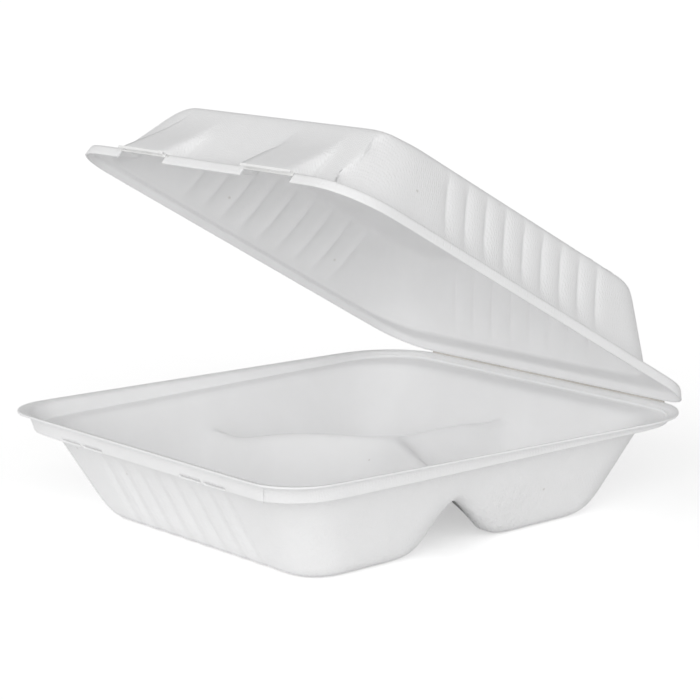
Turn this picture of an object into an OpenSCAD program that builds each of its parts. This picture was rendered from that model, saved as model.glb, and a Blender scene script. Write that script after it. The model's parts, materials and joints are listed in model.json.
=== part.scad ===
// Hinged food box of moulded pulp with three compartments, shown half open.
// X runs along the hinge, Y from the lock side to the hinge, Z up. The origin
// is under the middle of the base's rim, on the table.

/* [Box] */
// Width of the base over its rim, along the hinge
rim_w = 208; // [200:1:224]
// Depth of the base over its rim, from the lock side to the hinge
rim_d = 212; // [204:1:230]
// Height of the rim over the table on the lock side
base_h = 47.2; // [42:0.2:56]
// How much lower the rim is beside the hinge
rim_fall = 7.4; // [0:0.2:8]
// Thickness of the pressed pulp
pulp = 0.9; // [0.7:0.05:1.2]

/* [Rim and band] */
// Corner radius of the rim on the lock side
rim_r_front = 22; // [16:1:28]
// Corner radius of the rim beside the hinge
rim_r_rear = 31; // [24:1:36]
// Width of the flat rim
rim_flat = 3.4; // [2.4:0.1:4.4]
// How far the band under the rim leans in
band_lean = 1.6; // [0.8:0.1:2.4]
// Depth of the band on the lock side
band_front = 7.5; // [6:0.1:10]
// Depth of the band beside the hinge
band_rear = 2.4; // [2:0.1:4.6]
// Width of the ledge inside the band
ledge = 6; // [4:0.2:8]
// Width of the ledge beside the hinge
ledge_rear = 10.6; // [5:0.2:12]

/* [Base tray] */
// How far a side wall leans in from ledge to foot
lean_side = 18.2; // [13:0.2:21]
// How far the lock side wall leans in
lean_front = 18.6; // [14:0.2:22]
// How far the hinge side wall leans in
lean_rear = 20.8; // [14:0.2:23]
// Corner radius of the tray at its foot
foot_corner_r = 15; // [10:1:20]
// Size of the rounding between wall and floor
foot_round = 9; // [5:0.5:12]

/* [Dividers] */
// Height of the dividers' crests over the table
crest_h = 27.3; // [22:0.1:30]
// Distance from the hinge to the point where the dividers meet
junction_back = 84; // [74:1:94]
// How far forward of that point a side divider meets its wall
arm_sweep = 38; // [16:0.5:42]
// Steepness of a divider's flanks
flank_slope = 1.95; // [1.5:0.05:2.4]
// Roundness of a divider's crest
crest_round = 7; // [4:0.5:10]
// How far a side divider dips at its wall
dip_side = 11; // [2:0.2:12]
// How far the rear divider dips at its wall
dip_rear = 7; // [1:0.2:8]

/* [Flutes on the lock side] */
// Number of flutes
flute_n = 8; // [5:1:8]
// Distance between flutes
flute_pitch = 12.4; // [10:0.2:12.6]
// Depth of a flute
flute_depth = 1.5; // [0.4:0.1:2]

/* [Locks] */
// Distance between the two locks
lock_gap = 87; // [78:1:94]
// How far both locks sit to the right of the middle
lock_shift = -7.6; // [-9:0.2:0]
// Length of a lock slit in the base
slit_len = 31; // [24:1:33]
// Height of a lock slit
slit_h = 1.2; // [0.8:0.1:1.6]
// Width of the uncut bridge in the middle of a slit
slit_bridge = 1.8; // [1.2:0.1:3]

/* [Lid] */
// Height of the lid over its flange
lid_h = 31.6; // [28:0.2:40]
// Angle by which the lid stands open
lid_open = 30.8; // [10:0.2:80]
// Height of the lip under the lid's flange
lip_h = 4.3; // [2.6:0.1:5]
// How far the lip flares out towards its free edge
lip_lean = 1; // [0.4:0.1:1.4]
// How far the lip leans in along the hinge
hinge_lean = 2; // [1:0.1:4]
// Room between the lid's lip and the base's band
lip_room = 0.8; // [0.4:0.05:1.4]
// Width of the flange on the lid's sides
lid_flange = 6.9; // [4:0.1:8]
// Width of the flange on the lid's lock side
lid_flange_front = 7.4; // [4:0.2:9]
// Distance from the hinge to the foot of the lid's hinge side wall
lid_flange_rear = 16.6; // [9:0.2:18]
// Corner radius of the lid's flange beside the hinge
lid_r_rear = 22; // [14:1:30]
// How far a side wall of the lid leans in
lid_lean = 15.8; // [10:0.2:20]
// How far the hinge side wall of the lid leans in
lid_lean_rear = 17; // [10:0.2:20]
// Corner radius at the lid's top
lid_top_r = 16; // [12:1:22]

/* [Ribs in the lid] */
// Number of grooves in each side wall
groove_n = 9; // [5:1:9]
// Distance between grooves
groove_pitch = 11; // [9:0.2:11.4]
// Depth of a groove
groove_depth = 1.9; // [0.5:0.1:2.4]
// Number of grooves in the hinge side wall
rear_groove_n = 8; // [4:1:8]
// Distance between grooves in the hinge side wall
rear_groove_pitch = 12.6; // [9:0.2:12.8]

/* [Lock tabs of the lid] */
// Width of a tab at its free edge
tab_w = 33; // [26:1:34]
// Height of a tab over the flange
tab_h = 19.5; // [14:0.5:24]

/* [Hinge] */
// Room left at the crease between the two trays
hinge_room = 0.3; // [0.2:0.05:0.5]

/* [Hidden] */
PULP = [0.95, 0.95, 0.94];

// places on the hinge and the dividers
hinge_y = rim_d / 2;
hinge_z = rim_z(hinge_y) + hinge_room / 2;
rim_tilt = atan(rim_fall / rim_d);
junction = [0, hinge_y - junction_back];

// height of the rim over the table at place y
function rim_z(y) = base_h - rim_fall * (y + rim_d / 2) / rim_d;

// segments in each rounded corner
CORNER_N = 6;
CORNER_STEPS = [for (i = [0:CORNER_N]) i / CORNER_N];

// stretch of each straight side on which every outline keeps its stations
KEEP_X = rim_w / 2 - 56;
KEEP_Y = rim_d / 2 - 56;

function lerp(a, b, t) = a + (b - a) * t;
function unit(v) = v / max(norm(v), 0.000001);
function clamp01(t) = max(0, min(1, t));
function ease(t) = let(c = clamp01(t)) c * c * (3 - 2 * c);
// larger of two values with a rounded changeover, exact once they differ by r
function blend_max(a, b, r) = let(h = max(r - abs(a - b), 0) / r) max(a, b) + h * h * r / 4;
// share of the way from a to b at which p lies beside it
function seg_t(p, a, b) = clamp01((p - a) * (b - a) / ((b - a) * (b - a)));

// An outline is [half width, front y, rear y, front radius, rear radius, lowest radius].
function inset_outline(side, front, rear, rf, rr) =
    [rim_w / 2 - side, -rim_d / 2 + front, rim_d / 2 - rear, rf, rr];

// position of a station along a straight side, drawn together past the kept stretch
function squeeze(v, room, keep, last) =
    abs(v) <= keep || room >= last ? v : sign(v) * (keep + (abs(v) - keep) * (room - keep) / (last - keep));

// A station is [side, value]: sides 0 front, 2 right, 4 rear, 6 left hold a place in mm,
// corners 1, 3, 5, 7 hold a share of their quarter turn.
function station_point(o, s, last) =
    let(a = o[0], yf = o[1], yr = o[2], rf = o[3], rr = o[4])
    s[0] == 0 ? [squeeze(s[1], a - rf - 1, KEEP_X, last[0]), yf] :
    s[0] == 2 ? [a, s[1] < 0 ? squeeze(s[1], -yf - rf - 1, KEEP_Y, last[1])
                             : squeeze(s[1], yr - rr - 1, KEEP_Y, last[1])] :
    s[0] == 4 ? [squeeze(s[1], a - rr - 1, KEEP_X, last[0]), yr] :
    s[0] == 6 ? [-a, s[1] < 0 ? squeeze(s[1], -yf - rf - 1, KEEP_Y, last[1])
                              : squeeze(s[1], yr - rr - 1, KEEP_Y, last[1])] :
    s[0] == 1 ? [a - rf + rf * sin(90 * s[1]), yf + rf - rf * cos(90 * s[1])] :
    s[0] == 3 ? [a - rr + rr * cos(90 * s[1]), yr - rr + rr * sin(90 * s[1])] :
    s[0] == 5 ? [-a + rr - rr * sin(90 * s[1]), yr - rr + rr * cos(90 * s[1])] :
                [-a + rf - rf * cos(90 * s[1]), yf + rf - rf * sin(90 * s[1])];

function sorted(v) = len(v) <= 1 ? v :
    let(p = v[floor(len(v) / 2)])
    concat(sorted([for (x = v) if (x < p) x]), [p], sorted([for (x = v) if (x > p) x]));
function reversed(v) = [for (i = [len(v) - 1:-1:0]) v[i]];
function corner_stations(side) = [for (t = CORNER_STEPS) [side, t]];
function side_stations(side, places) = [for (p = places) [side, p]];
// values that lie at least gap from every value in keep
function apart(v, keep, gap) = [for (x = v) if (min([for (k = keep) abs(x - k)]) >= gap) x];

// places of n grooves, and of the stations that each groove needs
function groove_places(n, pitch) = [for (i = [0:n - 1]) (i - (n - 1) / 2) * pitch];
function groove_stations(n, pitch, half) =
    [for (g = groove_places(n, pitch)) each [g - half, g, g + half]];
// share of a groove's depth at a place along its wall
function groove_share(v, n, pitch, half) =
    max([for (g = groove_places(n, pitch)) 1 - min(1, abs(v - g) / half)]);

// A pressed sheet is built from one skin. Every point of the skin has a way out, a
// vector square to the sheet, and the second skin lies the pulp's thickness behind.
// tangent along the outline and tangent across it give the way out at a point; the
// longer steps at a sharp turn are held below 1.4 thicknesses.
function way_out(before, after, above, below) =
    let(across = (unit(above) + unit(below)) / 2)
    unit(cross(unit(after - before), unit(across))) / max(norm(across), 0.72);
function ring_ways(g, first) = [for (r = [0:len(g) - 1]) let(n = len(g[0])) [for (s = [0:n - 1])
    r == 0 && norm(first) > 0 ? first :
    let(
        up = r > 0 ? g[r][s] - g[r - 1][s] : g[1][s] - g[0][s],
        down = r < len(g) - 1 ? g[r + 1][s] - g[r][s] : up
    )
    way_out(g[r][(s + n - 1) % n], g[r][(s + 1) % n], up, down)]];

// four-cornered cells between the rings of a grid, as lists of point numbers
function ring_cells(ids, cut = []) =
    [for (r = [0:len(ids) - 2]) let(n = len(ids[0])) for (s = [0:n - 1])
        if (len(cut) == 0 || !cut[r][s])
            [ids[r][s], ids[r][(s + 1) % n], ids[r + 1][(s + 1) % n], ids[r + 1][s]]];
function fan_cells(ring, centre) =
    [for (s = [0:len(ring) - 1]) [ring[s], ring[(s + 1) % len(ring)], centre]];
// edges of the skin that are open: its first ring, and the cells that are cut away
function open_edges(ids, cut) =
    [for (r = [0:len(cut) - 1]) let(n = len(ids[0])) for (s = [0:n - 1]) if (!cut[r][s]) each concat(
        r == 0 || cut[r - 1][s] ? [[ids[r][(s + 1) % n], ids[r][s]]] : [],
        r < len(cut) - 1 && cut[r + 1][s] ? [[ids[r + 1][s], ids[r + 1][(s + 1) % n]]] : [],
        cut[r][(s + n - 1) % n] ? [[ids[r][s], ids[r + 1][s]]] : [],
        cut[r][(s + 1) % n] ? [[ids[r + 1][(s + 1) % n], ids[r][(s + 1) % n]]] : [])];
function ring_ids(count, n, first) = [for (r = [0:count - 1]) [for (s = [0:n - 1]) first + r * n + s]];

module sheet(points, ways, cells, edges) {
    n = len(points);
    skin = [for (c = cells) each len(c) == 3 ? [[c[0], c[2], c[1]]]
        : [[c[0], c[2], c[1]], [c[0], c[3], c[2]]]];
    back = [for (f = skin) [f[2] + n, f[1] + n, f[0] + n]];
    walls = [for (e = edges) each [[e[0], e[1] + n, e[1]], [e[0], e[0] + n, e[1] + n]]];
    polyhedron(
        points = concat(points, [for (i = [0:n - 1]) points[i] - pulp * ways[i]]),
        faces = concat(skin, back, walls));
}

// Base
slit_centres = [lock_shift - lock_gap / 2, lock_shift + lock_gap / 2];
slit_ends = [for (c = slit_centres) each
    [c - slit_len / 2, c - slit_bridge / 2, c + slit_bridge / 2, c + slit_len / 2]];
// half the width of a flute, and of a groove in the lid
FLUTE_HALF = 3.4;
flute_places = groove_stations(flute_n, flute_pitch, FLUTE_HALF);

band_in = rim_flat + band_lean;
tray_in = band_in + ledge;
function band_depth(y) = lerp(band_front, band_rear, clamp01((y + rim_d / 2) / rim_d));
tray_rear = band_in + ledge_rear;
tray_top = inset_outline(tray_in, tray_in, tray_rear, rim_r_front + 2, rim_r_rear - 7);
tray_foot = inset_outline(tray_in + lean_side, tray_in + lean_front, tray_rear + lean_rear,
    foot_corner_r, foot_corner_r);

// The pockets part at this share of the walls' lean, where the dividers meet the walls.
PART_U = 0.45;
part_line = lerp(tray_top, tray_foot, PART_U);
arm_slope = arm_sweep / tray_top[0];
arm_dirs = [unit([1, -arm_slope]), [0, 1], unit([-1, -arm_slope])];
arm_ends = [
    [part_line[0], junction[1] - arm_slope * part_line[0]],
    [0, part_line[2]],
    [-part_line[0], junction[1] - arm_slope * part_line[0]]];
arm_meet_y = arm_ends[0][1];

base_front = sorted(concat(slit_ends, apart(flute_places, slit_ends, 1.2)));
base_side = sorted([for (i = [-5:5]) arm_meet_y + i * 7, each [hinge_y - 44]]);
base_rear = sorted([for (i = [-4:4]) i * 9]);
base_stations = concat(
    side_stations(0, base_front), corner_stations(1),
    side_stations(2, base_side), corner_stations(3),
    side_stations(4, reversed(base_rear)), corner_stations(5),
    side_stations(6, reversed(base_side)), corner_stations(7));
base_last = [max([for (v = base_front) abs(v)]) + 1, max([for (v = base_side) abs(v)]) + 1];

// height of a divider's crest at a share t of its length, and of the ridge beside it
function crest(t, k) = crest_h - (k == 1 ? dip_rear * pow(t, 6) : dip_side * pow(t, 3));
function arm_ridge(p, k) =
    let(
        t = seg_t(p, junction, arm_ends[k]),
        d = norm(p - lerp(junction, arm_ends[k], t))
    )
    crest(t, k) - flank_slope * (sqrt(d * d + crest_round * crest_round) - crest_round);
function ridge(p) = blend_max(blend_max(arm_ridge(p, 0), arm_ridge(p, 2), 3), arm_ridge(p, 1), 3);
// distance from a divider's crest to the foot of its flank
function flank_width(t, k) =
    let(h = (crest(t, k) - pulp) / flank_slope + crest_round) sqrt(h * h - crest_round * crest_round);

// the flutes show on the lock side wall and fade at its ledge and in the floor
function flute_push(x, u) =
    flute_depth * groove_share(x, flute_n, flute_pitch, FLUTE_HALF)
        * ease(u / 0.12) * ease((1.22 - u) / 0.12);

// size of the rounding between a divider and the walls
WALL_BLEND = 20;
// height of the sheet's upper skin at p, on a wall with share u of its lean
function tray_z(p, u) =
    let(wall = lerp(rim_z(p[1]) - band_depth(p[1]) - 0.6, pulp, u))
    blend_max(blend_max(wall, ridge(p), WALL_BLEND), pulp, foot_round);
function tray_point(p, u) = [p[0], p[1], tray_z(p, u)];

// point of the wall above the dividers, at share u
function wall_point(s, u) =
    let(p = station_point(lerp(tray_top, tray_foot, u), s, base_last))
    tray_point(s[0] == 0 ? p + [0, flute_push(p[0], u)] : p, u);

function base_ring(inset, rf, rr, drop, share) =
    [for (s = base_stations)
        let(p = station_point(inset_outline(inset, inset, inset, rf, rr), s, base_last))
        [p[0], p[1], rim_z(p[1]) - drop - share * band_depth(p[1])]];

SLIT_RING = 3;
outer = concat(
    [
        base_ring(0, rim_r_front, rim_r_rear, 0, 0),
        base_ring(rim_flat, rim_r_front, rim_r_rear - 3, 0.5, 0),
        base_ring(rim_flat + band_lean * 0.4, rim_r_front, rim_r_rear - 4, 1.6, 0),
        base_ring(band_in - 0.2, rim_r_front + 1, rim_r_rear - 5, -slit_h, 1),
        base_ring(band_in, rim_r_front + 1, rim_r_rear - 5, 0, 1),
        [for (s = base_stations)
            let(
                p = station_point(inset_outline(tray_in - 0.8, tray_in - 0.8, tray_rear - 0.8,
                    rim_r_front + 2, rim_r_rear - 6), s, base_last)
            )
            [p[0], p[1], rim_z(p[1]) - 0.3 - band_depth(p[1])]]
    ],
    [for (u = [0.05, 0.2, 0.34, PART_U]) [for (s = base_stations) wall_point(s, u)]]);
outer_n = len(base_stations);
outer_ids = ring_ids(len(outer), outer_n, 0);
part_ring = outer[len(outer) - 1];
part_ids = outer_ids[len(outer) - 1];

// crests, each from its wall to the junction
CREST_N = 7;
CREST_STEPS = [for (i = [1:CREST_N - 1]) i / CREST_N];
function crest_point(k, t) = let(p = lerp(arm_ends[k], junction, t)) tray_point(p, wall_share(k, p));
// share of the wall's lean that the wall beside divider k would have at p
function wall_share(k, p) =
    k == 1 ? (tray_top[2] - p[1]) / (tray_top[2] - tray_foot[2])
           : (tray_top[0] - abs(p[0])) / (tray_top[0] - tray_foot[0]);
crest_first = len(outer) * outer_n;
crest_points = concat([tray_point(junction, 2)],
    [for (k = [0:2]) for (t = CREST_STEPS) crest_point(k, t)]);
crest_ways = concat([[0, 0, 1]],
    [for (k = [0:2]) for (t = CREST_STEPS)
        let(v = unit(crest_point(k, t - 0.02) - crest_point(k, t + 0.02)))
        unit(cross(v, cross([0, 0, 1], v)))]);
function crest_id(k, i) = crest_first + 1 + k * (CREST_N - 1) + i;

// station at which each divider meets the wall
function station_of(side, v) =
    [for (i = [0:outer_n - 1]) if (base_stations[i][0] == side && abs(base_stations[i][1] - v) < 0.001) i][0];
arm_stations = [station_of(2, arm_meet_y), station_of(4, 0), station_of(6, arm_meet_y)];

// A pocket lies between divider a, where its stretch of wall starts, and divider b.
POCKETS = [[2, 0], [0, 1], [1, 2]];
function pocket_walls(k) =
    let(i = arm_stations[POCKETS[k][0]], j = arm_stations[POCKETS[k][1]], n = (j - i + outer_n) % outer_n)
    [for (m = [0:n]) (i + m) % outer_n];
// A site of a pocket's ring is [0, station], or [1, divider, share of its crest].
function pocket_sites(k) = let(a = POCKETS[k][0], b = POCKETS[k][1]) concat(
    [for (i = pocket_walls(k)) [0, i]],
    [for (t = CREST_STEPS) [1, b, t]], [[1, b, 1]],
    [for (t = reversed(CREST_STEPS)) [1, a, t]]);
function pocket_edge(k) = let(a = POCKETS[k][0], b = POCKETS[k][1]) concat(
    [for (i = pocket_walls(k)) part_ids[i]],
    [for (i = [0:CREST_N - 2]) crest_id(b, i)], [crest_first],
    [for (i = [CREST_N - 2:-1:0]) crest_id(a, i)]);

// share of the walls' lean at share v of a pocket's way from its edge to its foot
function lean_at(v) = v < 1 ? lerp(PART_U, 1, v) : 1 + (v - 1) * 1.1;
// point where divider k's flank, at share v of its width, meets the wall on its turn side
function flank_corner(k, turn, v) =
    let(o = lerp(tray_top, tray_foot, lean_at(v)), w = v * flank_width(1, k))
    k == 1 ? [-turn * w, o[2]]
           : let(x = o[0]) [x * sign(arm_ends[k][0]), junction[1] - arm_slope * x
                + turn * (k == 0 ? 1 : -1) * w / arm_dirs[0][0]];
// point of a crest site: turn is 1 on the left of divider k, seen from the junction
function flank_site(k, turn, t, v, open) =
    let(
        dir = arm_dirs[k],
        left = [-dir[1], dir[0]],
        w = v * flank_width(1 - t, k),
        far = (flank_corner(k, turn, v) - junction) * dir,
        near = v * flank_width(0, k) / tan(open / 2)
    )
    junction + dir * lerp(far, near, t) + left * turn * w;
function between(v, a0, a1, b0, b1) = lerp(b0, b1, (v - a0) / (a1 - a0));
// point of a wall site: its stretch of wall is squeezed between flank and rounded corner
function wall_site(i, k, v) =
    let(
        s = base_stations[i],
        u = lean_at(v),
        o = lerp(tray_top, tray_foot, u),
        q = part_ring[i],
        a = POCKETS[k][0],
        b = POCKETS[k][1],
        from = flank_corner(a, 1, v),
        to = flank_corner(b, -1, v)
    )
    s[0] == 2 ? [o[0], k == 0
        ? between(q[1], part_line[1] + part_line[3], arm_meet_y, o[1] + o[3], to[1])
        : between(q[1], arm_meet_y, part_line[2] - part_line[4], from[1], o[2] - o[4])] :
    s[0] == 6 ? [-o[0], k == 0
        ? between(q[1], part_line[1] + part_line[3], arm_meet_y, o[1] + o[3], from[1])
        : between(q[1], arm_meet_y, part_line[2] - part_line[4], to[1], o[2] - o[4])] :
    s[0] == 4 ? [k == 1
        ? between(q[0], 0, part_line[0] - part_line[4], to[0], o[0] - o[4])
        : between(q[0], part_line[4] - part_line[0], 0, o[4] - o[0], from[0]), o[2]] :
    s[0] == 0 ? station_point(o, s, base_last) + [0, flute_push(q[0], u)] :
                station_point(o, s, base_last);

function open_angle(k) = acos(arm_dirs[POCKETS[k][0]] * arm_dirs[POCKETS[k][1]]);
function pocket_point(k, site, v) =
    site[0] == 0 ? tray_point(wall_site(site[1], k, v), lean_at(v)) :
    let(
        arm = site[1],
        turn = arm == POCKETS[k][0] ? 1 : -1,
        p = flank_site(arm, turn, site[2], v, open_angle(k))
    )
    tray_point(p, wall_share(arm, p));

POCKET_STEPS = [0.14, 0.32, 0.58, 0.82, 1, 1.16, 1.36];
pocket_rings = [for (k = [0:2]) let(sites = pocket_sites(k))
    [for (v = POCKET_STEPS) [for (site = sites) pocket_point(k, site, v)]]];
function mean(v) = let(n = len(v)) [for (i = [0:2]) [for (p = v) p[i]] * [for (p = v) 1 / n]];
pocket_centres = [for (k = [0:2]) mean(pocket_rings[k][len(POCKET_STEPS) - 1])];
pocket_size = [for (k = [0:2]) len(pocket_rings[k][0]) * len(POCKET_STEPS) + 1];
pocket_first = [
    crest_first + len(crest_points),
    crest_first + len(crest_points) + pocket_size[0],
    crest_first + len(crest_points) + pocket_size[0] + pocket_size[1]];
function pocket_ids(k) = concat([pocket_edge(k)],
    ring_ids(len(POCKET_STEPS), len(pocket_rings[k][0]), pocket_first[k]));

base_upper = concat(
    [for (ring = outer) each ring], crest_points,
    [for (k = [0:2]) each concat([for (ring = pocket_rings[k]) each ring], [pocket_centres[k]])]);
// points of a pocket's edge; with them its first ring's ways out see both sides
function edge_points(k) = [for (id = pocket_edge(k))
    id < crest_first ? part_ring[id % outer_n] : crest_points[id - crest_first]];
outer_ways = ring_ways(outer, [0, 0, 1]);
base_ways = concat(
    [for (ring = outer_ways) each ring], crest_ways,
    [for (k = [0:2])
        let(
            middle = [for (p = pocket_rings[k][0]) pocket_centres[k]],
            ways = ring_ways(concat([edge_points(k)], pocket_rings[k], [middle]), [])
        )
        each concat(
            [for (r = [1:len(POCKET_STEPS)]) each
                r == len(POCKET_STEPS) ? [for (p = ways[r]) [0, 0, 1]] : ways[r]],
            [[0, 0, 1]])]);

function in_slit(x0, x1) =
    let(m = (x0 + x1) / 2)
    max([for (c = slit_centres) abs(m - c) < slit_len / 2 && abs(m - c) > slit_bridge / 2 ? 1 : 0]) == 1;
base_cut = [for (r = [0:len(outer) - 2]) [for (s = [0:outer_n - 1])
    let(a = base_stations[s], b = base_stations[(s + 1) % outer_n])
    r == SLIT_RING && a[0] == 0 && b[0] == 0 && in_slit(a[1], b[1])]];
base_cells = concat(
    ring_cells(outer_ids, base_cut),
    [for (k = [0:2]) let(ids = pocket_ids(k), last = ids[len(ids) - 1])
        each concat(ring_cells(ids), fan_cells(last, pocket_first[k] + pocket_size[k] - 1))]);

module base() {
    color(PULP)
    sheet(base_upper, base_ways, base_cells, open_edges(outer_ids, base_cut));
}

// Lid, in the closed position: its own frame has the hinge axis as X axis
GROOVE_HALF = 2.4;
lip_in = band_in + lip_room;
lid_side = sorted(concat(groove_stations(groove_n, groove_pitch, GROOVE_HALF), [-62, 58]));
lid_rear = sorted(groove_stations(rear_groove_n, rear_groove_pitch, GROOVE_HALF));
tab_ends = [for (c = slit_centres) each
    [c - tab_w / 2 - 1.2, c - tab_w / 2, c, c + tab_w / 2, c + tab_w / 2 + 1.2]];
lid_front = sorted(concat(tab_ends, [lock_shift]));
lid_stations = concat(
    side_stations(0, lid_front), corner_stations(1),
    side_stations(2, lid_side), corner_stations(3),
    side_stations(4, reversed(lid_rear)), corner_stations(5),
    side_stations(6, reversed(lid_side)), corner_stations(7));
lid_last = [max([for (v = lid_front) abs(v)]) + 1, max([for (v = lid_side) abs(v)]) + 1];

// share of a tab's push at a place along the lid's lock side
function tab_share(x) = max([for (c = slit_centres) abs(x - c) <= tab_w / 2 + 0.01 ? 1 : 0]);

lid_rim = inset_outline(lip_in, lip_in, hinge_room / 2 + hinge_lean, rim_r_front + 1, lid_r_rear);
lid_foot = inset_outline(lip_in + lid_flange, lip_in + lid_flange_front, lid_flange_rear,
    rim_r_front + 2, rim_r_front + 2);
lid_top = inset_outline(lip_in + lid_flange + lid_lean, lip_in + lid_flange_front + lid_lean,
    lid_flange_rear + lid_lean_rear, lid_top_r, lid_top_r);

flange_z = hinge_room + lip_h;
function lid_wall_point(s, u, z) =
    let(
        a = station_point(lid_foot, s, lid_last),
        b = station_point(lid_top, s, lid_last),
        p = lerp(a, b, u),
        fade = ease((u - 0.04) / 0.12) * ease((0.95 - u) / 0.16),
        side = groove_depth * groove_share(s[1], groove_n, groove_pitch, GROOVE_HALF) * fade,
        rear = groove_depth * groove_share(s[1], rear_groove_n, rear_groove_pitch, GROOVE_HALF)
            * fade,
        tab = tab_share(s[1]) * lid_flange_front * clamp01(1 - z / tab_h) * 1.35
    )
    s[0] == 0 ? [p[0], p[1] - tab, z + flange_z] :
    s[0] == 2 ? [p[0] - side, p[1], z + flange_z] :
    s[0] == 6 ? [p[0] + side, p[1], z + flange_z] :
    s[0] == 4 ? [p[0], p[1] - rear, z + flange_z] : [p[0], p[1], z + flange_z];

function lid_ring(outline, z) =
    [for (s = lid_stations) let(p = station_point(outline, s, lid_last)) [p[0], p[1], z]];
// free edge of the lip, which is the hinge crease along the straight run
lip_edge = inset_outline(lip_in - lip_lean, lip_in - lip_lean, hinge_room / 2, rim_r_front + 2, lid_r_rear);

LID_WALL = [[0, 0], [0.07, 0.08], [0.17, 0.18], [0.5, 0.51], [0.78, 0.79], [0.94, 0.94]];
lid_skin = concat(
    [lid_ring(lip_edge, hinge_room + 0.2), lid_ring(lid_rim, flange_z)],
    [for (w = LID_WALL) [for (s = lid_stations) lid_wall_point(s, w[0], w[1] * lid_h)]],
    [[for (s = lid_stations)
        let(p = station_point(lid_top, s, lid_last), q = lerp(p, [0, 0], 0.035))
        [q[0], q[1], lid_h + flange_z]]]);
lid_centre = [0, 0, lid_h + flange_z];
lid_ids = ring_ids(len(lid_skin), len(lid_stations), 0);
lid_last_id = len(lid_skin) * len(lid_stations);
lid_cut = [for (r = [0:len(lid_skin) - 2]) [for (s = [0:len(lid_stations) - 1])
    let(a = lid_stations[s], b = lid_stations[(s + 1) % len(lid_stations)])
    r == 0 && a[0] == 0 && b[0] == 0 && tab_share((a[1] + b[1]) / 2) == 1]];

module lid() {
    color(PULP)
    translate([0, hinge_y, hinge_z])
    rotate([-lid_open - rim_tilt, 0, 0])
    translate([0, -hinge_y, -hinge_room / 2])
    sheet(
        concat([for (ring = lid_skin) each ring], [lid_centre]),
        concat([for (ring = ring_ways(lid_skin, [])) each ring], [[0, 0, 1]]),
        concat(ring_cells(lid_ids, lid_cut), fan_cells(lid_ids[len(lid_ids) - 1], lid_last_id)),
        open_edges(lid_ids, lid_cut));
}

base();
lid();
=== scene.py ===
# %% [markdown]
# A takeaway box of pressed white plant pulp stands half open on a white table.
# The frame holds its two trays, the base and the lid, at their real size and place.
# Everything this lesson makes is fitted around them in the same frame, in metres.

# %% Load the frame and keep its box
import json
import math

import bpy
from mathutils import Matrix, Vector

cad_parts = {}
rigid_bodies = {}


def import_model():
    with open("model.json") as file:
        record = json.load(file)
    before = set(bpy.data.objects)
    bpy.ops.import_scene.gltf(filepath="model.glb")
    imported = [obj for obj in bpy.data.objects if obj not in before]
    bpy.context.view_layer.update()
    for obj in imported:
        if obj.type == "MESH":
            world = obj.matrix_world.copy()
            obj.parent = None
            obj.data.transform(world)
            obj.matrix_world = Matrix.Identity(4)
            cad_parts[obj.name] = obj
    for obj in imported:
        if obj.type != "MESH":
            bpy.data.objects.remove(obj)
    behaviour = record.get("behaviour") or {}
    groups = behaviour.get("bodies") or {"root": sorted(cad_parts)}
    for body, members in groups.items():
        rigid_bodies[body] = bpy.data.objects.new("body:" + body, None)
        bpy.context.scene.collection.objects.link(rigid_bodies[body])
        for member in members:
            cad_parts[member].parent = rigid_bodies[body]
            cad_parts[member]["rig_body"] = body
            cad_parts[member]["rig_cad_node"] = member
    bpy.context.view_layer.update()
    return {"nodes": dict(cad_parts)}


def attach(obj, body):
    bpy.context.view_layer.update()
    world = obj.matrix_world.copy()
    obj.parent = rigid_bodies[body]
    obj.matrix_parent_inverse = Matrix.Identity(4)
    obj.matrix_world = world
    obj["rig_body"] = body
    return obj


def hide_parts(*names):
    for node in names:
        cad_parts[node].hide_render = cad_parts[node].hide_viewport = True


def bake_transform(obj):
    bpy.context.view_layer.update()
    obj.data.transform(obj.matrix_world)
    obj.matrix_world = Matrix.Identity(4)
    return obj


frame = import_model()
print("frame pieces:", sorted(frame["nodes"]))

# %% [markdown]
# The camera comes first, because every later choice is judged through it.
# The photograph was taken with a long lens from the right of the lock side, a little
# above the rim. The lens and the place below were found by matching the outline of both
# trays, so the camera is set by numbers instead of being moved by hand.

# %% Camera at the photograph's place
CAMERA_PLACE = Vector((0.91932, -0.67353, 0.30493))
CAMERA_AZIMUTH = math.radians(53.676)
CAMERA_ELEVATION = math.radians(11.719)
CAMERA_ROLL = math.radians(-2.828)
LENS_MM = 145.78
SENSOR_MM = 36.0

towards_camera = Vector((
    math.sin(CAMERA_AZIMUTH) * math.cos(CAMERA_ELEVATION),
    -math.cos(CAMERA_AZIMUTH) * math.cos(CAMERA_ELEVATION),
    math.sin(CAMERA_ELEVATION)))
level_right = (-towards_camera).cross(Vector((0, 0, 1))).normalized()
level_up = towards_camera.cross(level_right)
right = level_right * math.cos(CAMERA_ROLL) + level_up * math.sin(CAMERA_ROLL)
up = level_up * math.cos(CAMERA_ROLL) - level_right * math.sin(CAMERA_ROLL)

bpy.ops.object.select_all(action="DESELECT")
bpy.ops.object.camera_add()
camera = bpy.context.active_object
camera.name = "camera"
camera.matrix_world = Matrix((
    (right.x, up.x, towards_camera.x, CAMERA_PLACE.x),
    (right.y, up.y, towards_camera.y, CAMERA_PLACE.y),
    (right.z, up.z, towards_camera.z, CAMERA_PLACE.z),
    (0, 0, 0, 1)))
camera.data.lens = LENS_MM
camera.data.sensor_width = SENSOR_MM
camera.data.sensor_fit = "HORIZONTAL"
bpy.context.scene.camera = camera
bpy.context.scene.view_settings.view_transform = "Standard"
print("camera stands", round(CAMERA_PLACE.length, 3), "m from the box")

# %% [markdown]
# Each tray is one pressed sheet, about 0.9 mm thick, and the frame's solid already has
# its pockets, grooves and flutes. It could be drawn again from a grid, but a copy keeps
# every wall in its place. The copy's loose triangles are merged and joined to four-sided
# faces, and a subdivision surface rounds them the way a felted sheet leaves its mould.

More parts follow.
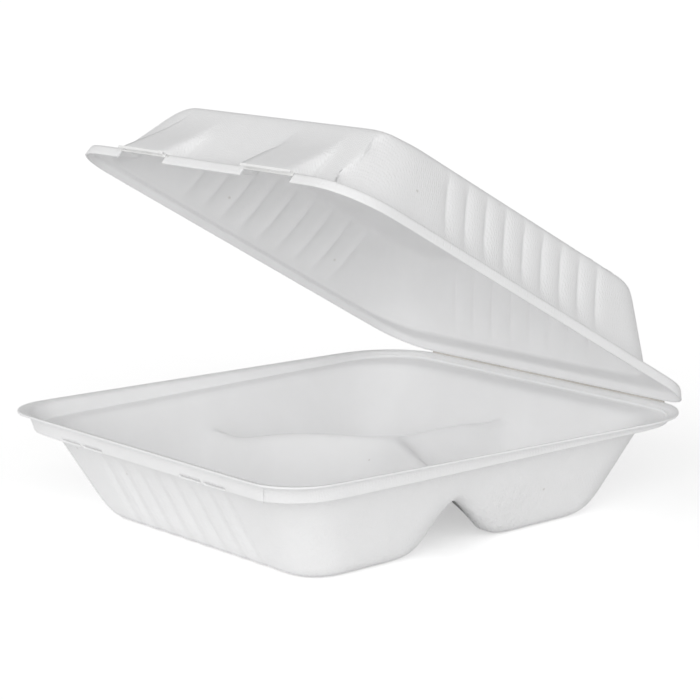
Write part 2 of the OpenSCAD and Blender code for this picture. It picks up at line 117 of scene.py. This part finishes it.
# %% A smooth copy of a pressed tray
SAME_POINT = 0.00001
QUAD_FOLD = math.radians(50)
QUAD_SHAPE = math.radians(60)


def select_only(piece):
    bpy.ops.object.select_all(action="DESELECT")
    piece.select_set(True)
    bpy.context.view_layer.objects.active = piece


def apply_modifiers(piece):
    select_only(piece)
    for name in [modifier.name for modifier in piece.modifiers]:
        bpy.ops.object.modifier_apply(modifier=name)


def pressed_tray(node, name):
    select_only(frame["nodes"][node])
    bpy.ops.object.duplicate()
    tray = bpy.context.active_object
    tray.name = name
    tray.data.name = name
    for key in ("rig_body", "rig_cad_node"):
        if key in tray:
            del tray[key]
    tray.parent = None
    bpy.ops.object.mode_set(mode="EDIT")
    bpy.ops.mesh.select_all(action="SELECT")
    bpy.ops.mesh.remove_doubles(threshold=SAME_POINT)
    bpy.ops.mesh.tris_convert_to_quads(face_threshold=QUAD_FOLD, shape_threshold=QUAD_SHAPE)
    bpy.ops.object.mode_set(mode="OBJECT")
    print(name, "starts with", len(tray.data.polygons), "faces")
    return tray


base_tray = pressed_tray("base", "base_tray")
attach(base_tray, "base")
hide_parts("base")
lid_tray = pressed_tray("lid", "lid_tray")
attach(lid_tray, "lid")
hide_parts("lid")

# %% [markdown]
# Some places of the copies are corrected against the photograph, while their faces are still few.
# Points are chosen in code by where they are, and moved with the transform operator, as one would
# move them by hand. The lid's points are looked up where they would be on the closed lid, because
# its rows are level there.

# %% The closed lid's place, and a way to move points
HINGE = Vector((0, 0.106, 0.03995))
HALF_HINGE_ROOM = 0.00015
LID_OPEN = math.radians(30.8)
RIM_FALL_MM = 7.4
RIM_DEPTH_MM = 212
RIM_TILT = math.atan(RIM_FALL_MM / RIM_DEPTH_MM)
LID_TURN = (Matrix.Translation(HINGE) @ Matrix.Rotation(-LID_OPEN - RIM_TILT, 4, "X")
            @ Matrix.Translation((0, -HINGE.y, -HALF_HINGE_ROOM)))
CLOSED_LID = LID_TURN.inverted()
MM = 1000


def choose(tray, wanted):
    select_only(tray)
    bpy.ops.object.mode_set(mode="EDIT")
    bpy.ops.mesh.select_mode(type="VERT")
    bpy.ops.mesh.select_all(action="DESELECT")
    bpy.ops.object.mode_set(mode="OBJECT")
    count = 0
    for vertex in tray.data.vertices:
        if wanted(vertex.co):
            vertex.select = True
            count += 1
    bpy.ops.object.mode_set(mode="EDIT")
    return count


def move_points(tray, wanted, move):
    count = choose(tray, wanted)
    bpy.ops.transform.translate(value=move)
    bpy.ops.object.mode_set(mode="OBJECT")
    print(tray.name, "moved", count, "points by", [round(MM * v, 2) for v in move], "mm")


# %% [markdown]
# The lid's two tabs catch in two slits of the base's front band. The band runs straight
# past them, so the slits can slide along it without changing its section. Their upper
# edges are then lowered, which makes them narrower.

# %% Slide and narrow the lock slits
BAND_STRAIGHT_HALF = 0.081
BAND_BEHIND = -0.098
SLIT_SLIDE = 0.007
SLIT_EDGE_DEPTH = (-0.1026, -0.0995)
SLIT_EDGE_HEIGHT = (0.0402, 0.0416)
SLIT_NARROWING = 0.0006


def on_front_band(point):
    return abs(point.x) < BAND_STRAIGHT_HALF and point.y < BAND_BEHIND


def on_upper_slit_edge(point):
    return (abs(point.x) < BAND_STRAIGHT_HALF
            and SLIT_EDGE_DEPTH[0] < point.y < SLIT_EDGE_DEPTH[1]
            and SLIT_EDGE_HEIGHT[0] < point.z < SLIT_EDGE_HEIGHT[1])


move_points(base_tray, on_front_band, (SLIT_SLIDE, 0, 0))
move_points(base_tray, on_upper_slit_edge, (0, 0, -SLIT_NARROWING))

# %% [markdown]
# The lock tabs of the lid slide the same way. The lid's front wall narrows towards its
# top, so each row of points slides a little less than the row below it.

# %% Slide the lock tabs
TAB_SLIDE = 0.010
SLIDE_LOSS = 0.21
FULL_SLIDE_MM = 4
ROW_LIMITS_MM = (-1, 1.2, 4, 5.6, 8, 14, 24, 31, 35, 40)
LOCK_SIDE_HALF = 0.0695
LOCK_SIDE_BEHIND = -0.066


def front_wall_row(low, high):
    def is_in_row(point):
        place = CLOSED_LID @ point
        on_lock_side = abs(place.x) < LOCK_SIDE_HALF and place.y < LOCK_SIDE_BEHIND
        return on_lock_side and low < place.z * MM <= high
    return is_in_row


for low, high in zip(ROW_LIMITS_MM, ROW_LIMITS_MM[1:]):
    slide = TAB_SLIDE - SLIDE_LOSS * max(0, (low + high) / 2 - FULL_SLIDE_MM) / MM
    move_points(lid_tray, front_wall_row(low, high), (slide, 0, 0))

# %% [markdown]
# In the photograph the dividers' front flanks flow into each other in a broad soft hollow,
# so the points around that valley are smoothed before the surface is subdivided.

# %% Soften the valley where the dividers meet
VALLEY_HALF_WIDTH = 0.020
VALLEY_DEPTH = (-0.012, 0.0225)
VALLEY_HEIGHT = (0.002, 0.0268)
VALLEY_ROUNDS = 8


def in_valley(point):
    return (abs(point.x) < VALLEY_HALF_WIDTH
            and VALLEY_DEPTH[0] < point.y < VALLEY_DEPTH[1]
            and VALLEY_HEIGHT[0] < point.z < VALLEY_HEIGHT[1])


count = choose(base_tray, in_valley)
bpy.ops.mesh.vertices_smooth(factor=0.5, repeat=VALLEY_ROUNDS)
bpy.ops.object.mode_set(mode="OBJECT")
print("smoothed", count, "points of the valley")

# %% [markdown]
# A subdivision surface rounds every edge, also the trimmed ones, which are cut on the real
# box. A crease weight on those edges, found by their angle, keeps them crisp. It also
# keeps the two trimmed edges at the hinge close together.

# %% Subdivide the sheets
TRIMMED_EDGE = math.radians(60)
EDGE_CRISPNESS = 0.65
SHADING_EDGE = math.radians(50)


def felt_sheet(tray):
    select_only(tray)
    bpy.ops.object.mode_set(mode="EDIT")
    bpy.ops.mesh.select_mode(type="EDGE")
    bpy.ops.mesh.select_all(action="DESELECT")
    bpy.ops.mesh.edges_select_sharp(sharpness=TRIMMED_EDGE)
    bpy.ops.transform.edge_crease(value=EDGE_CRISPNESS)
    bpy.ops.object.mode_set(mode="OBJECT")
    felting = tray.modifiers.new("Felting", "SUBSURF")
    felting.levels = 2
    felting.render_levels = 2
    apply_modifiers(tray)
    bpy.ops.object.shade_smooth_by_angle(angle=SHADING_EDGE)
    print(tray.name, "has", len(tray.data.polygons), "faces")


felt_sheet(base_tray)
felt_sheet(lid_tray)

# %% [markdown]
# Pulp has two sides. The side that lay on the wire screen keeps the screen's fine weave,
# and the side that met the polished tool is smoother. Both sides need their own material,
# so the faces are sorted by the way they look: a base tray's outer side looks down, and
# the lid's outer side looks up once the lid is thought closed.

# %% Sort the faces into screen side and tool side
DOWN = Vector((0, 0, -1))
CLOSED_UP = Vector((0, math.sin(LID_OPEN + RIM_TILT), math.cos(LID_OPEN + RIM_TILT)))
SCREEN_SIDE = 0
TOOL_SIDE = 1


def sort_faces(tray, outward):
    count = 0
    for face in tray.data.polygons:
        on_screen = face.normal.dot(outward) > 0
        face.material_index = SCREEN_SIDE if on_screen else TOOL_SIDE
        count += on_screen
    print(tray.name, "has", count, "faces on the screen side")


# %% [markdown]
# Three effects make pulp look like pulp, and each is a shader node group, so that every
# material can use it with its own values. All of them are built from the same few nodes:
# noise, a mapping that stretches it, a ramp, sums and products. A small helper for each
# of these keeps the recipes short.

# %% Node helpers
def new_group(name, inputs, outputs):
    group = bpy.data.node_groups.new(name, "ShaderNodeTree")
    for label, kind, value in inputs:
        socket = group.interface.new_socket(label, in_out="INPUT", socket_type=kind)
        if value is not None:
            socket.default_value = value
    for label, kind in outputs:
        group.interface.new_socket(label, in_out="OUTPUT", socket_type=kind)
    return group, group.nodes.new("NodeGroupInput"), group.nodes.new("NodeGroupOutput")


def noise(tree, vector, scale, detail, roughness=0.5):
    node = tree.nodes.new("ShaderNodeTexNoise")
    node.inputs["Scale"].default_value = scale
    node.inputs["Detail"].default_value = detail
    node.inputs["Roughness"].default_value = roughness
    tree.links.new(vector, node.inputs["Vector"])
    return node.outputs["Fac"]


def stretched(tree, vector, scale, turn=(0, 0, 0)):
    node = tree.nodes.new("ShaderNodeMapping")
    node.inputs["Scale"].default_value = scale
    node.inputs["Rotation"].default_value = turn
    tree.links.new(vector, node.inputs["Vector"])
    return node.outputs["Vector"]


def ramp(tree, value, low, high, start=0.0, end=1.0):
    node = tree.nodes.new("ShaderNodeMapRange")
    node.inputs["From Min"].default_value = low
    node.inputs["From Max"].default_value = high
    node.inputs["To Min"].default_value = start
    node.inputs["To Max"].default_value = end
    tree.links.new(value, node.inputs["Value"])
    return node.outputs["Result"]


def set_or_link(tree, socket, value):
    if isinstance(value, (int, float, tuple)):
        socket.default_value = value
    else:
        tree.links.new(value, socket)


def math_node(tree, operation, first, second):
    node = tree.nodes.new("ShaderNodeMath")
    node.operation = operation
    set_or_link(tree, node.inputs[0], first)
    set_or_link(tree, node.inputs[1], second)
    return node.outputs["Value"]


def mix_colour(tree, share, first, second):
    node = tree.nodes.new("ShaderNodeMix")
    node.data_type = "RGBA"
    set_or_link(tree, node.inputs["Factor"], share)
    set_or_link(tree, node.inputs["A"], first)
    set_or_link(tree, node.inputs["B"], second)
    return node.outputs["Result"]


# %% [markdown]
# The first effect is the felt itself: soft clouds where more or fewer fibres settled, a
# fine grain, short fibres, and a rare dark fleck of bark. Noise that is stretched along
# two different directions and multiplied looks like fibres that cross each other. The
# flecks are the middles of a few Voronoi cells, chosen by the cells' random colour.

# %% The felt group
CLOUD_SCALE = 55
GRAIN_SCALE = 1100
FIBRE_SCALE = 260
FLECK_SCALE = 130
FLECK_STRENGTH = 0.3
GRAIN_SHARE = 0.6


def make_felt():
    group, given, made = new_group(
        "felted fibres",
        [("Vector", "NodeSocketVector", None),
         ("Pulp", "NodeSocketColor", (0.9, 0.9, 0.9, 1)),
         ("Thin Pulp", "NodeSocketColor", (0.86, 0.86, 0.85, 1)),
         ("Fleck", "NodeSocketColor", (0.5, 0.47, 0.42, 1))],
        [("Colour", "NodeSocketColor"),
         ("Height", "NodeSocketFloat"),
         ("Roughness", "NodeSocketFloat")])
    place = given.outputs["Vector"]
    clouds = ramp(group, noise(group, place, CLOUD_SCALE, 4), 0.36, 0.7)
    grain = noise(group, place, GRAIN_SCALE, 3, 0.6)
    first_way = stretched(group, place, (1, 7, 2), (0.4, 0.2, 0.5))
    second_way = stretched(group, place, (6, 1, 3), (0.3, 0.9, -0.6))
    first_fibres = noise(group, first_way, FIBRE_SCALE, 2)
    second_fibres = noise(group, second_way, FIBRE_SCALE, 2)
    fibres = math_node(group, "MULTIPLY", first_fibres, second_fibres)

    cells = group.nodes.new("ShaderNodeTexVoronoi")
    cells.inputs["Scale"].default_value = FLECK_SCALE
    group.links.new(place, cells.inputs["Vector"])
    core = ramp(group, cells.outputs["Distance"], 0.06, 0.1, 1.0, 0.0)
    parted = group.nodes.new("ShaderNodeSeparateColor")
    group.links.new(cells.outputs["Color"], parted.inputs["Color"])
    rare = ramp(group, parted.outputs["Red"], 0.955, 0.965)
    rare_core = math_node(group, "MULTIPLY", core, rare)
    fleck = math_node(group, "MULTIPLY", rare_core, FLECK_STRENGTH)

    settled = mix_colour(group, clouds, given.outputs["Thin Pulp"], given.outputs["Pulp"])
    flecked = mix_colour(group, fleck, settled, given.outputs["Fleck"])
    group.links.new(flecked, made.inputs["Colour"])
    grain_height = math_node(group, "MULTIPLY", grain, GRAIN_SHARE)
    height = math_node(group, "ADD", grain_height, fibres)
    group.links.new(height, made.inputs["Height"])
    group.links.new(ramp(group, grain, 0.3, 0.7, 0.82, 0.95), made.inputs["Roughness"])
    print("made the group", group.name)
    return group


felt = make_felt()

# %% [markdown]
# The second effect is the weave that the wire screen leaves. A flat weave pattern would
# smear on walls that lean another way, so three sets of fine waves run through space at
# odd angles and are added up: every wall cuts them as a small lattice. A noise mask
# lets the lattice fade where the screen was clogged.

# %% The screen's imprint
WIRE_PITCH = 0.0009
WARP_SCALE = 120
CLOG_SCALE = 45
WAVE_TURNS = ((0.35, 0.2, 0.75), (0.9, 0.5, -0.4), (-0.3, 0.85, 0.3))


def make_imprint():
    group, given, made = new_group(
        "screen imprint",
        [("Vector", "NodeSocketVector", None), ("Pitch", "NodeSocketFloat", WIRE_PITCH)],
        [("Height", "NodeSocketFloat")])
    place = given.outputs["Vector"]
    warp = noise(group, place, WARP_SCALE, 2)
    total = None
    for turn in WAVE_TURNS:
        turned = stretched(group, place, (1, 1, 1), turn)
        parted = group.nodes.new("ShaderNodeSeparateXYZ")
        group.links.new(turned, parted.inputs["Vector"])
        cycles = math_node(group, "DIVIDE", parted.outputs["X"], given.outputs["Pitch"])
        angle = math_node(group, "MULTIPLY", cycles, math.tau)
        bent = math_node(group, "ADD", angle, warp)
        wave = math_node(group, "SINE", bent, 0)
        total = wave if total is None else math_node(group, "ADD", total, wave)
    clear = ramp(group, noise(group, place, CLOG_SCALE, 2), 0.35, 0.6, 0.35, 1.0)
    group.links.new(math_node(group, "MULTIPLY", total, clear), made.inputs["Height"])
    print("made the group", group.name)
    return group


imprint = make_imprint()

# %% [markdown]
# The third effect is the crinkle where the wet sheet was drawn deep, at the mouths of
# the notches under the side dividers. The sheet gathers there in short steep wrinkles.
# A soft ball around each mouth masks a stretched noise, so the wrinkles fade out.

# %% Crinkles at the notch mouths
NOTCH_MOUTH = Vector((0.074, 0.012, 0.012))
NOTCH_REACH = 0.026
NOTCH_CORE = 0.3
WRINKLE_SCALE = 420


def make_crinkle():
    group, given, made = new_group(
        "drawn crinkles",
        [("Vector", "NodeSocketVector", None)],
        [("Height", "NodeSocketFloat")])
    place = given.outputs["Vector"]
    mask = None
    for side in (1, -1):
        apart = group.nodes.new("ShaderNodeVectorMath")
        apart.operation = "DISTANCE"
        apart.inputs[1].default_value = (side * NOTCH_MOUTH.x, NOTCH_MOUTH.y, NOTCH_MOUTH.z)
        group.links.new(place, apart.inputs[0])
        near = NOTCH_REACH * NOTCH_CORE
        ball = ramp(group, apart.outputs["Value"], near, NOTCH_REACH, 1.0, 0.0)
        mask = ball if mask is None else math_node(group, "MAXIMUM", mask, ball)
    upright = stretched(group, place, (1, 1, 0.4), (0.3, 0, 0))
    folds = noise(group, upright, WRINKLE_SCALE, 3, 0.65)
    group.links.new(math_node(group, "MULTIPLY", folds, mask), made.inputs["Height"])
    print("made the group", group.name)
    return group


crinkle = make_crinkle()

# %% [markdown]
# A material joins these groups to one Principled shader. Pulp is matt and nearly white,
# and a trace of sheen stands for the loose fibres on it. Each relief goes through its own
# Bump node, and each of these hands its normal to the next one. The screen side gets the
# weave, the tool side only the felt, and torn edges a coarse fuzz of fibres.

# %% Pulp materials
FLECK_BROWN = (0.42, 0.38, 0.33, 1)


def place_group(tree, group):
    node = tree.nodes.new("ShaderNodeGroup")
    node.node_tree = group
    return node


def pulp_material(name, pulp_colour, thin_colour, felt_depth, layers):
    material = bpy.data.materials.new(name)
    material.use_nodes = True
    tree = material.node_tree
    shader = tree.nodes["Principled BSDF"]
    shader.inputs["Specular IOR Level"].default_value = 0.25
    shader.inputs["Sheen Weight"].default_value = 0.05
    where = tree.nodes.new("ShaderNodeTexCoord").outputs["Object"]
    fibres = place_group(tree, felt)
    fibres.inputs["Pulp"].default_value = pulp_colour
    fibres.inputs["Thin Pulp"].default_value = thin_colour
    fibres.inputs["Fleck"].default_value = FLECK_BROWN
    tree.links.new(where, fibres.inputs["Vector"])
    tree.links.new(fibres.outputs["Colour"], shader.inputs["Base Color"])
    tree.links.new(fibres.outputs["Roughness"], shader.inputs["Roughness"])
    normal = None
    for group, depth in [(None, felt_depth)] + layers:
        bump = tree.nodes.new("ShaderNodeBump")
        bump.inputs["Distance"].default_value = depth
        if group is None:
            tree.links.new(fibres.outputs["Height"], bump.inputs["Height"])
        else:
            layer = place_group(tree, group)
            tree.links.new(where, layer.inputs["Vector"])
            tree.links.new(layer.outputs["Height"], bump.inputs["Height"])
        if normal is not None:
            tree.links.new(normal, bump.inputs["Normal"])
        normal = bump.outputs["Normal"]
    tree.links.new(normal, shader.inputs["Normal"])
    print("made", name)
    return material


# %% [markdown]
# The lid's outer side shows less felt and more weave than the base's, and the inner sides
# have only a fine felt. These differences are depths in metres, which the Distance of each
# Bump node takes. The wrinkles at the notches belong to the base alone.

# %% Pulp on the two trays
PULP_WHITE = (0.935, 0.935, 0.938, 1)
PULP_THIN = (0.918, 0.918, 0.920, 1)
BASE_FELT = 0.00018
LID_FELT = 0.00014
TOOL_FELT = 0.00006
BASE_WEAVE = 0.000008
LID_WEAVE = 0.00002
WRINKLES = 0.0009

base_screen_side = pulp_material(
    "base pulp, screen side", PULP_WHITE, PULP_THIN, BASE_FELT,
    [(imprint, BASE_WEAVE), (crinkle, WRINKLES)])
lid_screen_side = pulp_material(
    "lid pulp, screen side", PULP_WHITE, PULP_THIN, LID_FELT, [(imprint, LID_WEAVE)])
tool_side = pulp_material("pulp, tool side", PULP_WHITE, PULP_THIN, TOOL_FELT, [])
for tray, outer, outward in (
        (base_tray, base_screen_side, DOWN), (lid_tray, lid_screen_side, CLOSED_UP)):
    tray.data.materials.clear()
    tray.data.materials.append(outer)
    tray.data.materials.append(tool_side)
    sort_faces(tray, outward)

# %% [markdown]
# Lid and base are one sheet, folded along a pressed crease. The frame leaves a slit of 0.3 mm for
# its joint. A thin round strip fills it: a cylinder is laid along the hinge line, cut into short
# lengths and roughened. Its colour is painted shade, darker and a little brown, which stands for
# the shadow in the fold.

# %% Hinge crease
CREASE_HALF = 0.0765
CREASE_RADIUS = 0.00042
CREASE_LENGTHS = 60
CREASE_SHAKE = 0.00006
# Both crease colours are painted shade: darker and a little brown, they stand for the shadow in the
# fold.
CREASE_SHADE_PAINTED = (0.74, 0.71, 0.67, 1)
CREASE_SHADE_PAINTED_THIN = (0.64, 0.61, 0.57, 1)
CREASE_FELT = 0.0002


def cut_into_lengths(piece, first, last, lengths):
    select_only(piece)
    bpy.ops.object.mode_set(mode="EDIT")
    for number in range(1, lengths):
        bpy.ops.mesh.select_all(action="SELECT")
        place = first + (last - first) * number / lengths
        bpy.ops.mesh.bisect(plane_co=(place, 0, 0), plane_no=(1, 0, 0))
    bpy.ops.object.mode_set(mode="OBJECT")


bpy.ops.object.select_all(action="DESELECT")
bpy.ops.mesh.primitive_cylinder_add(
    vertices=10, radius=CREASE_RADIUS, depth=2 * CREASE_HALF,
    location=(0, HINGE.y - CREASE_RADIUS, HINGE.z), rotation=(0, math.radians(90), 0))
crease = bpy.context.active_object
crease.name = "hinge_crease"
bpy.ops.object.transform_apply(location=True, rotation=True, scale=True)
cut_into_lengths(crease, -CREASE_HALF, CREASE_HALF, CREASE_LENGTHS)
bpy.ops.object.mode_set(mode="EDIT")
bpy.ops.mesh.select_all(action="SELECT")
bpy.ops.transform.vertex_random(offset=CREASE_SHAKE, seed=4)
bpy.ops.object.mode_set(mode="OBJECT")
bpy.ops.object.shade_smooth()
# The crease strip's material carries painted shade for the shadow in the fold.
crease_shade = pulp_material("painted crease shade", CREASE_SHADE_PAINTED, CREASE_SHADE_PAINTED_THIN, CREASE_FELT, [])
crease.data.materials.append(crease_shade)
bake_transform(crease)
print("crease is", round(2 * CREASE_HALF * MM), "mm long, with", len(crease.data.polygons), "faces")

# %% [markdown]
# The two lock tabs are punched out of the lid's flange, and punching tears pulp in layers.
# Each tab's lower edge ends in two ragged strips, one behind the other. A strip is a
# narrow grid whose lower row is shaken at random, with a thickness from Solidify. It is
# made where it would be on the closed lid, then turned open about the hinge.

# %% Torn edges of the lock tabs
FLANGE_HEIGHT = 0.0046
TORN_OVERLAP = 0.0002
TORN_THICKNESS = 0.00018
TORN_RAGGEDNESS = 0.35
TAB_CENTRES = (-0.0511 + TAB_SLIDE, 0.0359 + TAB_SLIDE)
TAB_LENGTH = 0.0325
TORN_LAYERS = (("outer", -0.1026, 0.0011), ("inner", -0.1006, 0.0016))
LOWER_ROW = -0.49
torn = pulp_material("torn pulp", (0.95, 0.95, 0.945, 1), (0.90, 0.90, 0.89, 1), 0.0004, [])


def torn_strip(name, centre, y, drop, seed):
    bpy.ops.object.select_all(action="DESELECT")
    bpy.ops.mesh.primitive_grid_add(x_subdivisions=72, y_subdivisions=3, size=1)
    strip = bpy.context.active_object
    strip.name = name
    middle = Matrix.Translation((centre, y, FLANGE_HEIGHT + TORN_OVERLAP - drop / 2))
    upright = Matrix.Rotation(math.radians(90), 4, "X")
    size = Matrix.Diagonal((TAB_LENGTH, drop, 1, 1))
    strip.matrix_world = LID_TURN @ middle @ upright @ size
    lower = [vertex.index for vertex in strip.data.vertices if vertex.co.y < LOWER_ROW]
    bpy.ops.object.transform_apply(location=True, rotation=True, scale=True)
    bpy.ops.object.mode_set(mode="EDIT")
    bpy.ops.mesh.select_all(action="DESELECT")
    bpy.ops.object.mode_set(mode="OBJECT")
    for index in lower:
        strip.data.vertices[index].select = True
    bpy.ops.object.mode_set(mode="EDIT")
    bpy.ops.transform.vertex_random(offset=drop * TORN_RAGGEDNESS, seed=seed)
    bpy.ops.object.mode_set(mode="OBJECT")
    thickness = strip.modifiers.new("Layer", "SOLIDIFY")
    thickness.thickness = TORN_THICKNESS
    thickness.offset = 0
    apply_modifiers(strip)
    strip.data.materials.append(torn)
    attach(strip, "lid")
    return strip


for number, centre in enumerate(TAB_CENTRES):
    side = "left" if centre < 0 else "right"
    for layer, y, drop in TORN_LAYERS:
        seed = 10 * number + len(layer)
        strip = torn_strip(f"torn_edge_{side}_{layer}", centre, y, drop, seed)
        print(strip.name, "has", len(strip.data.polygons), "faces")

# %% [markdown]
# The table is a plain white sheet. It takes the object's soft shadow, and a little glow
# lifts it to the photograph's clear white. Only rays from the camera and from mirrors or
# glass see the glow, so it doesn't light the box from below.

# %% Table
TABLE_GLOW = 0.47


def white_glow(tree, strength):
    node = tree.nodes.new("ShaderNodeEmission")
    node.inputs["Color"].default_value = (1, 1, 1, 1)
    node.inputs["Strength"].default_value = strength
    return node.outputs["Emission"]


def seen_rays(tree):
    path = tree.nodes.new("ShaderNodeLightPath")
    seen = math_node(tree, "MAXIMUM", path.outputs["Is Camera Ray"], path.outputs["Is Glossy Ray"])
    return math_node(tree, "MAXIMUM", seen, path.outputs["Is Transmission Ray"])


bpy.ops.object.select_all(action="DESELECT")
bpy.ops.mesh.primitive_plane_add(size=6.0, location=(0, 0, 0))
table = bpy.context.active_object
table.name = "table"
sheet = bpy.data.materials.new("white table")
sheet.use_nodes = True
sheet_tree = sheet.node_tree
sheet_shader = sheet_tree.nodes["Principled BSDF"]
sheet_shader.inputs["Base Color"].default_value = (0.9, 0.9, 0.9, 1)
sheet_shader.inputs["Roughness"].default_value = 1.0
sheet_add = sheet_tree.nodes.new("ShaderNodeAddShader")
sheet_mix = sheet_tree.nodes.new("ShaderNodeMixShader")
sheet_output = sheet_tree.nodes["Material Output"]
sheet_tree.links.new(sheet_shader.outputs["BSDF"], sheet_add.inputs[0])
sheet_tree.links.new(white_glow(sheet_tree, TABLE_GLOW), sheet_add.inputs[1])
sheet_tree.links.new(seen_rays(sheet_tree), sheet_mix.inputs["Fac"])
sheet_tree.links.new(sheet_shader.outputs["BSDF"], sheet_mix.inputs[1])
sheet_tree.links.new(sheet_add.outputs["Shader"], sheet_mix.inputs[2])
sheet_tree.links.new(sheet_mix.outputs["Shader"], sheet_output.inputs["Surface"])
table.data.materials.append(sheet)
print("the table glows with", TABLE_GLOW)

# %% [markdown]
# The photograph has almost no shade: a light tent surrounds the box, and broad soft
# lamps stand beside the camera, so that even the hollow of the lid is bright. The world
# is the tent. Suns with a wide angle stand for the lamps, because their light is the same
# on every wall that looks their way, and their soft shadows fall behind the box.

# %% World and lamps
TENT_LIGHT = 0.34
BACKDROP_LIGHT = 1.0
SOFT_ANGLE = math.radians(60)
LAMPS = (
    ("camera_lamp", (0.789, -0.580, 0.203), 1.78),
    ("left_lamp", (-0.35, -0.85, 0.35), 0.80),
    ("right_lamp", (0.95, 0.1, 0.25), 0.23))

world = bpy.data.worlds.new("light tent")
bpy.context.scene.world = world
world.use_nodes = True
world_tree = world.node_tree
tent = world_tree.nodes["Background"]
tent.inputs["Color"].default_value = (1, 1, 1, 1)
tent.inputs["Strength"].default_value = TENT_LIGHT
backdrop = world_tree.nodes.new("ShaderNodeBackground")
backdrop.inputs["Color"].default_value = (1, 1, 1, 1)
backdrop.inputs["Strength"].default_value = BACKDROP_LIGHT
world_mix = world_tree.nodes.new("ShaderNodeMixShader")
world_output = world_tree.nodes["World Output"]
world_tree.links.new(seen_rays(world_tree), world_mix.inputs["Fac"])
world_tree.links.new(tent.outputs["Background"], world_mix.inputs[1])
world_tree.links.new(backdrop.outputs["Background"], world_mix.inputs[2])
world_tree.links.new(world_mix.outputs["Shader"], world_output.inputs["Surface"])

for name, direction, strength in LAMPS:
    bpy.ops.object.select_all(action="DESELECT")
    bpy.ops.object.light_add(type="SUN", location=direction)
    lamp = bpy.context.active_object
    lamp.name = name
    lamp.data.energy = strength
    lamp.data.angle = SOFT_ANGLE
    lamp.rotation_euler = Vector(direction).to_track_quat("Z", "Y").to_euler()
    print(name, "shines with", strength)
